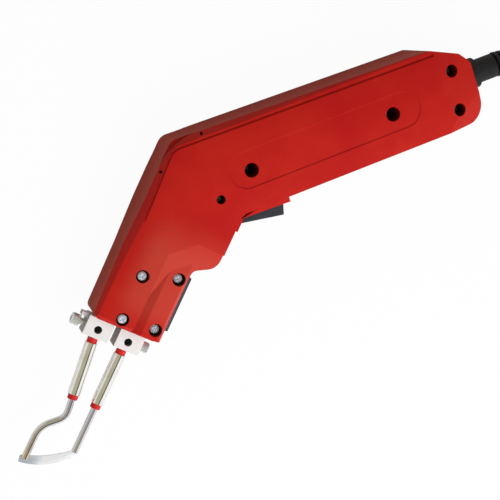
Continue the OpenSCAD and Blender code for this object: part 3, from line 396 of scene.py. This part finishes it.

# %% [markdown]
# ## Red moulded shells
# The shells are glass-filled nylon, moulded in red. The finish needs masks first. The spine faces are a little
# rougher, and a mask of the surface's own direction finds them; it also paints a duller, browner band there,
# which is painted shade and grazing sheen. The height above the table finds the seam between the shells. In
# the middle of the nose's length a mask paints a lighter, more orange sheen into the red.

# %% Masks on the red shells
DIAGONAL = 0.7071  # sine and cosine of 45 degrees, the nose's slant
red = Finish("red_moulding", IOR=1.5, Specular_IOR_Level=0.26, Specular_Tint=(1.0, 0.42, 0.30))
place = red.parts(red.place())
along = place - ELBOW.x / 1000
over = place.other("Y") - ELBOW.y / 1000
forward = (along + over) * -DIAGONAL
nose_depth = (along - over) * DIAGONAL
facing = red.parts(red.node("NewGeometry", output="Normal"))
facing_up = facing.other("Y")
# The spine mask makes those faces rougher and paints shade and a grazing sheen into their colour.
spine = red.rise(red.maths("MAXIMUM", facing_up, (facing_up - facing) * DIAGONAL), 0.72, 0.92)
seam = 1 - red.rise(abs(place.other("Z") - MIDDLE / 1000), 0.00008, 0.0003)
# A painted sheen: midway along the nose the red is coloured lighter and more orange.
sheen_span = red.rise(forward, 0.030, 0.060) * (1 - red.rise(forward, 0.086, 0.104))
painted_sheen = sheen_span * red.rise(nose_depth, 0.004, 0.018)
print("masks: spine, seam, faded nose")

# %% [markdown]
# Such plastic has a fine eroded grain, faint flow clouds and the scuffs of use. The screw wells are deep and
# narrow, and no light comes back out of them, so their colour is painted nearly black as shade. The list
# gives each well's place and radius in millimetres.

# %% Patterns and colour of the red shells
NOSE_WELL, HANDLE_WELL, ELBOW_WELL = 3.7, 4.1, 2.5
WELLS = [(nose(74, 16), NOSE_WELL), (nose(67.4, 35.2), NOSE_WELL), (nose(100.4, 16), NOSE_WELL),
         (nose(98.6, 35.2), NOSE_WELL), (handle(36, -29.2), HANDLE_WELL), (handle(124, -28.5), HANDLE_WELL),
         (handle(165.5, -17.5), NOSE_WELL), (handle(163.5, -40.3), NOSE_WELL),
         (handle(14.2, -38.5), ELBOW_WELL)]
clouds = red.noise(26, 4, 0.6)
grain = red.noise(2600, 2)
pores = red.noise(900, 3, 0.6)
scuffs = red.rise(red.noise(90, 5, 0.7, red.stretched((1, 9, 9), 0.5)), 0.66, 0.74)
body_colour = red.blend(red.rise(clouds, 0.3, 0.7), (0.50, 0.009, 0.009), (0.56, 0.017, 0.011))
# Painted sheen on the middle of the nose.
body_colour = red.blend(painted_sheen * 0.8, body_colour, (0.58, 0.056, 0.036))
# Painted shade and sheen: the spine faces get a darker, browner red.
spine_shade_and_sheen = red.blend(red.rise(pores, 0.35, 0.65), (0.33, 0.037, 0.013), (0.41, 0.051, 0.021))
colour = red.blend(spine * 0.85, body_colour, spine_shade_and_sheen)
colour = red.blend(scuffs * 0.10, colour, (0.62, 0.12, 0.10))
colour = red.blend(seam * 0.7, colour, (0.10, 0.006, 0.006))
# Painted shade: the screw wells are coloured nearly black.
colour = red.blend(red.holes(WELLS, MIDDLE + 0.5), colour, (0.004, 0.002, 0.002))
print("wells:", len(WELLS))

# %% [markdown]
# The sides are crowned by about a millimetre. A slow swell in the bump's height, measured from the spine, turns
# the light over them without moving a single corner. A Bevel node does the same at the edges, within 0.6 mm.

# %% Crown, grain and rounded light
CROWN_AT, CROWN, CORNER_BLEND = 0.019, 4.0, 0.015
depth = red.maths("SMOOTH_MIN", over * -1.0, nose_depth, CORNER_BLEND)
crown = (depth - CROWN_AT) * (depth - CROWN_AT) * -CROWN
round_light = red.node("Bevel", {"samples": 4}, {"Radius": 0.0006})
red.shade(Base_Color=colour, Roughness=0.36 + grain * 0.10 + spine * 0.16 + scuffs * 0.10)
red.bump(crown + (grain * 0.6 + pores * 0.5 - seam * 3.0) * 0.00002, 1000, round_light)
red.on("left_shell", "right_shell")
print("red moulding has", len(red.tree.nodes), "nodes")

# %% [markdown]
# ## Dark grey and black mouldings
# The trigger and the rest under the nose are satin nylon, a bluish dark grey. The strain relief, cord and plug
# are soft black PVC. Both have a fine grain. Soft PVC also has broad smears where hands have polished it. One
# function makes them all, because they differ only in colour, roughness and grain.


# %% Mouldings in one colour
def moulding(name, colour, lighter, roughness, grain_mm=0.5, depth=0.02):
    made = Finish(name, IOR=1.5, Specular_IOR_Level=0.28)
    cloud = made.rise(made.noise(40, 4, 0.6), 0.3, 0.7)
    fine = made.noise(1 / (grain_mm / 1000), 3, 0.55)
    rubbed = made.rise(made.noise(120, 5, 0.7, made.stretched((1, 7, 7), 0.3)), 0.55, 0.75)
    made.shade(Base_Color=made.blend(cloud, colour, lighter),
               Roughness=roughness + fine * 0.10 - rubbed * 0.12)
    return made.bump(fine, depth)


moulding("grey_nylon", (0.034, 0.041, 0.052), (0.053, 0.063, 0.078), 0.50).on("trigger", "nose_rest_pad")
moulding("black_pvc", (0.010, 0.010, 0.011), (0.019, 0.019, 0.021), 0.52, 0.4, 0.03).on(
    "strain_relief", "plug_body", flex, "cord_sheath")
moulding("red_silicone", (0.60, 0.012, 0.010), (0.70, 0.022, 0.016), 0.42, 0.3, 0.02).on(
    "upper_sleeve", "lower_sleeve")
moulding("brown_laminate", (0.16, 0.065, 0.025), (0.22, 0.09, 0.035), 0.55, 0.3, 0.04).on("mouth_insulator")
print("outer mouldings done")

# %% [markdown]
# The same function dresses the plastics that only show when the shells are off: switch, bobbin, fuse and the
# wires, which have the mains colours, brown for live and blue for neutral.

# %% Mouldings inside
moulding("black_nylon", (0.012, 0.012, 0.013), (0.02, 0.02, 0.021), 0.45).on("switch_body", "cord_clamp")
moulding("white_nylon", (0.62, 0.60, 0.55), (0.70, 0.68, 0.62), 0.45).on("switch_plunger")
moulding("natural_nylon", (0.60, 0.54, 0.38), (0.68, 0.62, 0.46), 0.5).on("bobbin")
moulding("fuse_ceramic", (0.60, 0.54, 0.40), (0.66, 0.60, 0.46), 0.7).on("thermal_fuse")
moulding("brown_insulation", (0.10, 0.035, 0.015), (0.14, 0.05, 0.02), 0.5).on(
    "live_lead", "switched_lead", "fuse_lead")
moulding("blue_insulation", (0.02, 0.07, 0.28), (0.03, 0.10, 0.34), 0.5).on("neutral_lead")
print("inner mouldings done")

# %% [markdown]
# ## Metals
# A metal shows its surroundings, so most of its look is roughness. Plated parts have a soft cloudiness and
# fine pits, and bars show the direction they were drawn in. The nose's screws sit deep in dark wells and would
# mirror only the dark, so they get a low metallic share, which keeps them as bright as in the photograph.


# %% Plated and machined metal
def metal(name, colour, duller, roughness, brush=(1, 1, 1), metallic=1.0):
    made = Finish(name, Metallic=metallic)
    cloud = made.rise(made.noise(70, 4, 0.6), 0.3, 0.72)
    brushed = made.noise(300, 4, 0.6, made.stretched(brush))
    pits = made.rise(made.noise(700, 4, 0.7), 0.62, 0.75)
    made.shade(Base_Color=made.blend(cloud, colour, duller),
               Roughness=roughness + brushed * 0.12 + pits * 0.15)
    return made.bump(brushed - pits * 0.6, 0.004)


metal("plated_screw", (0.90, 0.94, 1.00), (0.76, 0.81, 0.88), 0.24, metallic=0.15).on("nose_screws")
metal("bright_bolt", (0.92, 0.94, 0.97), (0.76, 0.78, 0.81), 0.12, metallic=0.7).on(
    "upper_clamp_bolt", "lower_clamp_bolt")
metal("black_screw", (0.20, 0.21, 0.24), (0.12, 0.13, 0.15), 0.3).on(
    "handle_screws", "rear_screws", "elbow_screw")
metal("plated_steel", (0.68, 0.68, 0.67), (0.55, 0.55, 0.54), 0.26).on(
    "core_screws", "cord_clamp_screws", "trigger_pin", "trigger_spring")
metal("tinned_brass", (0.75, 0.60, 0.32), (0.62, 0.48, 0.25), 0.3).on("switch_terminals", "bobbin_terminals")
metal("nickel_pins", (0.74, 0.73, 0.70), (0.64, 0.63, 0.60), 0.2).on("plug_pins")
metal("copper_bar", (0.70, 0.33, 0.19), (0.52, 0.23, 0.13), 0.3, (1, 12, 12)).on(
    "secondary_turn", "upper_bus_bar", "lower_bus_bar")
print("plain metals done")

# %% [markdown]
# The two clamp blocks are milled and nickel plated, pale and slightly stained. Their colour has painted
# shade: lit from the finger side, darker towards the spine and in the gap between them, and black in their
# empty threaded holes. Masks of direction and place find all three.

# %% Nickel-plated electrode blocks
finger_side = (nose(0, 1) - nose(0, 0)).normalized()
BLOCK_HOLES = [(nose(112.325, 7.9), 2.2), (nose(112.325, 26.6), 2.2)]
nickel = Finish("nickel_block", Metallic=0.12)
milled = nickel.noise(260, 3, 0.6, nickel.stretched((1, 14, 14), math.radians(-45)))
dents = nickel.rise(nickel.noise(380, 3, 0.6), 0.66, 0.76)
stain = nickel.rise(nickel.noise(60, 4, 0.6), 0.35, 0.75)
# Painted shade: faces towards the spine and the gap between the blocks are coloured darker.
to_spine = nickel.vector_maths("DOT_PRODUCT", nickel.node("NewGeometry", output="Normal"), -finger_side)
below_spine = nickel.along(finger_side) - finger_side.dot(nose(0, 0))
in_gap = nickel.rise(below_spine, 0.0152, 0.0156) * (1 - nickel.rise(below_spine, 0.0196, 0.0200))
shaded = nickel.maths("MAXIMUM", nickel.rise(to_spine, 0.4, 0.9), in_gap)
colour = nickel.blend(stain * 0.8, (0.95, 0.95, 0.945), (0.86, 0.86, 0.84))
colour = nickel.blend(shaded * 0.85, colour, (0.36, 0.31, 0.28))
# Painted shade: the empty threaded holes are coloured black.
colour = nickel.blend(nickel.holes(BLOCK_HOLES, 22.0), colour, (0.010, 0.010, 0.011))
nickel.shade(Base_Color=colour, Roughness=0.40 + milled * 0.14 + dents * 0.1)
nickel.bump(milled * 0.5 - dents, 0.01)
nickel.on("upper_electrode_block", "lower_electrode_block")
print("nickel blocks done")

# %% [markdown]
# The tubes are turned on a lathe, which leaves fine rings round the axis. A noise in one dimension, along that
# axis, gives rings. The upper tube is turned a few degrees towards the finger side.


# %% Turned steel tubes
def turned(name, node, direction):
    made = Finish(name, Metallic=1.0)
    rings = made.node("TexNoise", {"noise_dimensions": "1D"},
                      {"W": made.along(direction), "Scale": 3500, "Detail": 2})
    cloud = made.rise(made.noise(120, 4, 0.6), 0.3, 0.7)
    made.shade(Base_Color=made.blend(cloud, (0.92, 0.91, 0.88), (0.82, 0.80, 0.75)),
               Roughness=0.10 + rings * 0.04 + cloud * 0.03)
    return made.bump(rings, 0.0004).on(node)


down_lower = (nose(1, 0) - nose(0, 0)).normalized()
down_upper = Matrix.Rotation(math.radians(6), 3, "Z") @ down_lower
turned("upper_tube_steel", "upper_tube", down_upper)
turned("lower_tube_steel", "lower_tube", down_lower)
print("tubes done")

# %% [markdown]
# Steel that has been hot carries thin films of oxide that colour it straw, brown and blue. The rods get them
# as a ramp along the nose, from the tubes to the blade, and noise makes its steps uneven.

# %% Heated rods
WARM_FROM = 150
OXIDES = [(0.45, (0.70, 0.68, 0.67)), (0.72, (0.62, 0.57, 0.52)), (0.86, (0.78, 0.68, 0.52)),
          (1.0, (0.55, 0.58, 0.66))]


def heated(name, cool, hot_at):
    """Steel whose oxide colours grow along the nose up to hot_at, in mm from the elbow."""
    made = Finish(name, Metallic=1.0)
    uneven = made.along(down_lower) + (made.noise(160, 4, 0.65) - 0.5) * 0.010
    heat = made.node("MapRange", {}, {0: uneven, 1: down_lower.dot(nose(WARM_FROM, 0)),
                                      2: down_lower.dot(nose(hot_at, 0))})
    tint = made.node("ValToRGB", {}, {0: heat})
    fill_ramp(tint.socket.node.color_ramp, [(0.0, cool), *OXIDES])
    fine = made.noise(500, 4, 0.6, made.stretched((1, 10, 10)))
    flakes = made.rise(made.noise(420, 4, 0.7), 0.55, 0.75)
    made.shade(Base_Color=made.blend(flakes * 0.25, tint, (0.40, 0.36, 0.32)),
               Roughness=0.10 + fine * 0.06 + flakes * 0.08)
    return made.bump(fine * 0.5 - flakes * 0.5, 0.001)


heated("heated_rod", (0.66, 0.66, 0.80), 204).on("upper_rod")
heated("straight_rod", (0.70, 0.70, 0.82), 225).on("lower_rod")
print("rods done")

# %% [markdown]
# The blade is a thin crescent, ground bright on its cutting edge. The end that joins the bent rod runs hottest
# and keeps a bluish cloud. Its grind marks run across the edge.

# %% Blade
hot_end = nose(199.5, 0.5)
blade = Finish("blade_steel", Metallic=0.4)
away = blade.vector_maths("DISTANCE", blade.place(), hot_end)
cloud = blade.noise(240, 4, 0.6)
blue = 1 - blade.rise(away + (cloud - 0.5) * 0.008, 0.004, 0.014)
grind = blade.noise(700, 3, 0.6, blade.stretched((1, 16, 16), math.radians(20)))
blade.shade(Base_Color=blade.blend(blue * 0.85, (0.94, 0.95, 0.98), (0.40, 0.44, 0.52)),
            Roughness=0.30 + grind * 0.06)
blade.bump(grind, 0.0008).on("blade")
print("blade done")

# %% [markdown]
# ## Inside the handle
# The transformer is hidden until the shells come off, and still gets its own finishes: steel laminations with
# their fine stripes, and lacquered copper wire wound in rows. A sine along one direction gives both.


# %% Laminations and winding
def striped(name, colour, gap_colour, period_mm, direction, metallic, roughness, depth):
    made = Finish(name, Metallic=metallic)
    wave = made.maths("SINE", made.along(direction) * (2000 * math.pi / period_mm)) * 0.5 + 0.5
    made.shade(Base_Color=made.blend(made.rise(wave, 0.0, 0.5), gap_colour, colour), Roughness=roughness)
    return made.bump(wave, depth)


striped("laminations", (0.30, 0.31, 0.33), (0.08, 0.08, 0.085), 0.7, Vector((0, 0, 1)), 0.8, 0.42, 0.1).on(
    "transformer_core")
striped("lacquered_wire", (0.42, 0.15, 0.05), (0.12, 0.035, 0.012), 0.5, nose(0, 1) - nose(0, 0), 0.7, 0.3,
        0.2).on("primary_winding")
print("transformer done")

# %% [markdown]
# The tie round the coil is a woven strap. Two sines at right angles, multiplied, make its weave.

# %% Woven strap
WEAVE = 9000
strap = Finish("woven_strap", Roughness=0.85)
place = strap.parts(strap.place())
weave = strap.maths("SINE", place * WEAVE) * strap.maths("SINE", place.other("Y") * WEAVE) * 0.5 + 0.5
strap.shade(Base_Color=strap.blend(weave, (0.012, 0.012, 0.014), (0.03, 0.03, 0.034)))
strap.bump(weave, 0.15).on("coil_tie")
print("strap done")

# %% [markdown]
# ## Table and light
# The photograph has a white ground and almost no shadow. The floor is a wide pale plane, nearly all of whose
# colour is its own for the camera, so that it stays white and keeps a trace of shadow.

# %% Floor
OWN_SHARE = 0.96
WHITE = (1, 1, 1, 1)


def link_all(tree, *pairs):
    """Joins each output to its input."""
    for output, socket in pairs:
        tree.links.new(output, socket)


floor_mesh = bpy.data.meshes.new("floor")
floor_mesh.from_pydata([(-3, -3, 0), (3, -3, 0), (3, 3, 0), (-3, 3, 0)], [], [(0, 1, 2, 3)])
floor = bpy.data.objects.new("floor", floor_mesh)
bpy.context.collection.objects.link(floor)
paper = bpy.data.materials.new("white_paper")
paper.use_nodes = True
tree = paper.node_tree
tree.nodes.clear()
out = tree.nodes.new("ShaderNodeOutputMaterial")
matt = tree.nodes.new("ShaderNodeBsdfDiffuse")
matt.inputs["Color"].default_value = (0.88, 0.88, 0.88, 1)
own = tree.nodes.new("ShaderNodeEmission")
own.inputs["Color"].default_value = WHITE
rays = tree.nodes.new("ShaderNodeLightPath")
share = tree.nodes.new("ShaderNodeMath")
share.operation = "MULTIPLY"
share.inputs[1].default_value = OWN_SHARE
mix = tree.nodes.new("ShaderNodeMixShader")
link_all(tree, (rays.outputs["Is Camera Ray"], share.inputs[0]), (share.outputs[0], mix.inputs[0]),
         (matt.outputs[0], mix.inputs[1]), (own.outputs[0], mix.inputs[2]), (mix.outputs[0], out.inputs[0]))
floor_mesh.materials.append(paper)
print("floor done")

# %% [markdown]
# A large soft lamp stands at the lower right of the picture. The spine faces away from it and stays dark, as in
# the photograph. A weaker and higher lamp fills in from the cord's end. Mirrors don't see the lamps, which
# would burn them out.


# %% Lamps
def softbox(name, place, power, size):
    data = bpy.data.lights.new(name, "AREA")
    data.energy, data.size = power, size
    lamp = bpy.data.objects.new(name, data)
    lamp.location = place
    lamp.rotation_euler = (-Vector(place)).to_track_quat("-Z", "Y").to_euler()
    lamp.visible_glossy = False
    bpy.context.collection.objects.link(lamp)


softbox("key", (-0.06, -0.56, 0.52), 5.6, 0.8)
softbox("fill", (0.65, -0.35, 1.0), 2.0, 0.6)
print("lamps done")

# %% [markdown]
# Bright metal only looks like metal when it has something dark and something bright to show. A studio does
# that with white and dark cards. Here the sky that mirrors see is a band of such cards across the nose: a pale
# wall behind the spine, a dim ceiling, a dark edge, and a wide white card on the finger side.

# %% Cards that mirrors see
CARDS = [(0.0, (0.85, 0.85, 0.84)), (0.09, (0.80, 0.80, 0.78)), (0.16, (0.46, 0.43, 0.31)),
         (0.60, (0.50, 0.47, 0.35)), (0.66, (0.07, 0.06, 0.05)), (0.76, (0.09, 0.08, 0.07)),
         (0.82, (1.0, 1.0, 1.0)), (1.0, (1.0, 1.0, 1.0))]
world = bpy.data.worlds.new("studio")
bpy.context.scene.world = world
world.use_nodes = True
sky = world.node_tree
sky.nodes.clear()
direction = sky.nodes.new("ShaderNodeTexCoord")
sideways = sky.nodes.new("ShaderNodeVectorMath")
sideways.operation = "DOT_PRODUCT"
sideways.inputs[1].default_value = finger_side
span = sky.nodes.new("ShaderNodeMapRange")
span.inputs["From Min"].default_value = -1
cards = sky.nodes.new("ShaderNodeValToRGB")
fill_ramp(cards.color_ramp, CARDS)
link_all(sky, (direction.outputs["Generated"], sideways.inputs[0]),
         (sideways.outputs["Value"], span.inputs["Value"]), (span.outputs["Result"], cards.inputs[0]))
print("cards:", len(CARDS))

# %% [markdown]
# One world gives three answers: mirrors see the cards, the camera sees white, and everything else is lit by one
# plain grey. The Light Path node says which kind of ray is asking.

# %% Sky
SKY_GREY = (0.34, 0.34, 0.34, 1)
rays = sky.nodes.new("ShaderNodeLightPath")
plain, mirrored, white = (sky.nodes.new("ShaderNodeBackground") for _ in range(3))
plain.inputs["Color"].default_value = SKY_GREY
white.inputs["Color"].default_value = WHITE
to_mirror, to_camera = (sky.nodes.new("ShaderNodeMixShader") for _ in range(2))
out = sky.nodes.new("ShaderNodeOutputWorld")
link_all(sky, (cards.outputs[0], mirrored.inputs["Color"]),
         (rays.outputs["Is Glossy Ray"], to_mirror.inputs[0]), (plain.outputs[0], to_mirror.inputs[1]),
         (mirrored.outputs[0], to_mirror.inputs[2]),
         (rays.outputs["Is Camera Ray"], to_camera.inputs[0]), (to_mirror.outputs[0], to_camera.inputs[1]),
         (white.outputs[0], to_camera.inputs[2]), (to_camera.outputs[0], out.inputs[0]))
bpy.context.scene.view_settings.view_transform = "Standard"
print("sky done")
